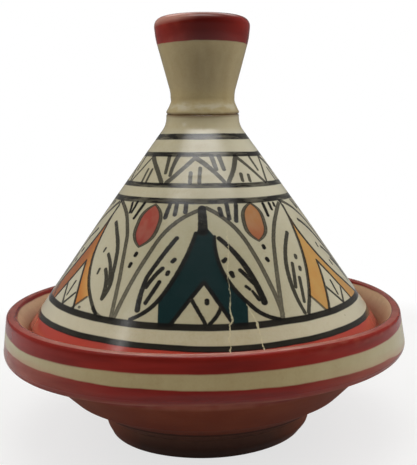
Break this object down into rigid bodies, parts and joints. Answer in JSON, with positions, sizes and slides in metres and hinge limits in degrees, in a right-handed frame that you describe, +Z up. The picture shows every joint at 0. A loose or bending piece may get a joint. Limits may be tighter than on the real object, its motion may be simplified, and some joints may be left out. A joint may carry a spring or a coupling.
{
  "type": "tagine pot",
  "caption": "Earthenware cooking pot: a shallow footed dish with a stepped rim and a tall conical lid that lifts off by a hollow knob, glazed and hand painted in bands.",
  "frame": {"origin": "centre of the foot ring's base, on the surface that the pot stands on", "axes": "+Z up along the turning axis, through the knob; +Y away from the viewer of the painted front, +X to that viewer's right"},
  "size_m": [0.2552, 0.2552, 0.2608],
  "materials": {
    "bare_clay": "satin",
    "dish_glaze": "gloss",
    "lid_glaze": "gloss",
    "neck_glaze": "gloss",
    "knob_glaze": "gloss"
  },
  "bodies": {
    "base": {"foot_ring": "bare_clay", "dish": "dish_glaze"},
    "lid": {"lid_cone": "lid_glaze", "neck_coil": "neck_glaze", "lid_knob": "knob_glaze"}
  },
  "joints": [
    {"name": "lid_lift", "type": "slide", "parent": "base", "child": "lid", "axis": [0, 0, 1], "range_m": [0, 0.12]}
  ]
}
